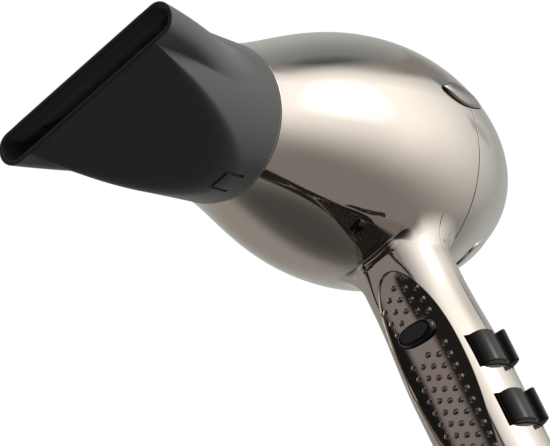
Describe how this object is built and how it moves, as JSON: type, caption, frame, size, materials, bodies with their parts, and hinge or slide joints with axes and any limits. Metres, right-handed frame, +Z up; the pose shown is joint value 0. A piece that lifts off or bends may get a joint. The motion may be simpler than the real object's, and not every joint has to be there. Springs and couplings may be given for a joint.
{
  "type": "hair dryer",
  "caption": "Pistol-grip hair dryer with a bulbous mirror-finish barrel, flat concentrator nozzle, pull-off rear cover, twin side rockers and a cool-shot button.",
  "frame": {"origin": "centre of the cord inlet's mouth at the foot of the handle", "axes": "+Z up the handle's axis; -Y is the way the air leaves, along the barrel; +X is the side with the rockers"},
  "size_m": [0.091, 0.2069, 0.2242],
  "materials": {
    "shell": "smoked pearl nickel, polished like a mirror",
    "nozzle_black": "fine satin charcoal, heat-resistant",
    "trim_grip": "same metallised plastic as the shells, with raised studs",
    "switch_black": "satin black",
    "button_black": "glossy black",
    "dark_plastic": "dark moulded plastic",
    "steel": "drawn wire and turned steel",
    "mica": "pale mica sheet",
    "nichrome": "heat-tinted resistance wire",
    "motor_steel": "plated pressed steel",
    "magnet": "sintered ferrite",
    "copper": "enamelled copper winding",
    "ivory_plastic": "ivory engineering plastic",
    "fan_grey": "glass-filled nylon",
    "blue_plastic": "potted electronics case",
    "rubber": "soft black rubber",
    "board_green": "solder-masked board",
    "lead_red": "silicone insulation",
    "screw_steel": "zinc-plated"
  },
  "bodies": {
    "housing": {"barrel_shell": "shell", "outlet_grille": "dark_plastic", "heater_tube": "mica", "heater_cross": "mica", "heater_coils": "nichrome", "thermal_cutoff": "ivory_plastic", "ioniser": "blue_plastic", "fan_duct": "dark_plastic", "motor_sleeve": "rubber", "motor_can": "motor_steel", "motor_magnets": "magnet", "motor_end_bell": "ivory_plastic", "motor_bearings": "steel", "handle_front": "shell", "handle_rear": "shell", "grip_panel": "trim_grip", "button_spring": "steel", "cool_shot_switch": "dark_plastic", "rocker_pins": "steel", "switch_block_upper": "dark_plastic", "switch_block_lower": "dark_plastic", "control_board": "board_green", "power_leads": "lead_red", "handle_end_cap": "shell", "cord_gland": "rubber", "cord_clamp": "dark_plastic", "clamp_screws": "screw_steel", "shell_screws": "screw_steel"},
    "snap_ring": {"snap_ring": "steel"},
    "nozzle": {"nozzle": "nozzle_black"},
    "rear_cover": {"rear_cover": "shell", "inlet_grille": "dark_plastic", "filter_mesh": "steel", "tab_pins": "steel"},
    "release_tab_left": {"release_tab_left": "shell"},
    "release_tab_right": {"release_tab_right": "shell"},
    "rotor": {"rotor_shaft": "steel", "rotor_core": "copper", "fan": "fan_grey"},
    "cool_shot_button": {"cool_shot_button": "button_black"},
    "rocker_upper": {"rocker_upper": "switch_black"},
    "rocker_lower": {"rocker_lower": "switch_black"}
  },
  "joints": [
    {"name": "nozzle_turn", "type": "hinge", "parent": "housing", "child": "snap_ring", "pos_m": [0, -0.088, 0.18], "axis": [0, 1, 0], "continuous": true},
    {"name": "nozzle_pull_off", "type": "slide", "parent": "snap_ring", "child": "nozzle", "axis": [0, -1, 0], "range_m": [0, 0.025]},
    {"name": "rear_cover_pull_off", "type": "slide", "parent": "housing", "child": "rear_cover", "axis": [0, 1, 0], "range_m": [0, 0.04]},
    {"name": "release_tab_left_lift", "type": "hinge", "parent": "rear_cover", "child": "release_tab_left", "pos_m": [0.0396, 0.0202, 0.18], "axis": [0, 0, 1], "range_deg": [0, 5], "stiffness_Nm_per_rad": 0.05},
    {"name": "release_tab_right_lift", "type": "hinge", "parent": "rear_cover", "child": "release_tab_right", "pos_m": [-0.0396, 0.0202, 0.18], "axis": [0, 0, -1], "range_deg": [0, 5], "stiffness_Nm_per_rad": 0.05},
    {"name": "rotor_spin", "type": "hinge", "parent": "housing", "child": "rotor", "pos_m": [0, 0.031, 0.18], "axis": [0, 1, 0], "continuous": true},
    {"name": "cool_shot_press", "type": "slide", "parent": "housing", "child": "cool_shot_button", "axis": [0, 1, 0], "range_m": [0, 0.0015], "stiffness_N_per_m": 600, "springref_m": -0.001, "deforming": ["button_spring"]},
    {"name": "rocker_upper_tilt", "type": "hinge", "parent": "housing", "child": "rocker_upper", "pos_m": [0.012, 0.0005, 0.08515], "axis": [0, 0, 1], "range_deg": [-8, 8]},
    {"name": "rocker_lower_tilt", "type": "hinge", "parent": "housing", "child": "rocker_lower", "pos_m": [0.012, 0.0005, 0.06055], "axis": [0, 0, 1], "range_deg": [-8, 8]}
  ]
}
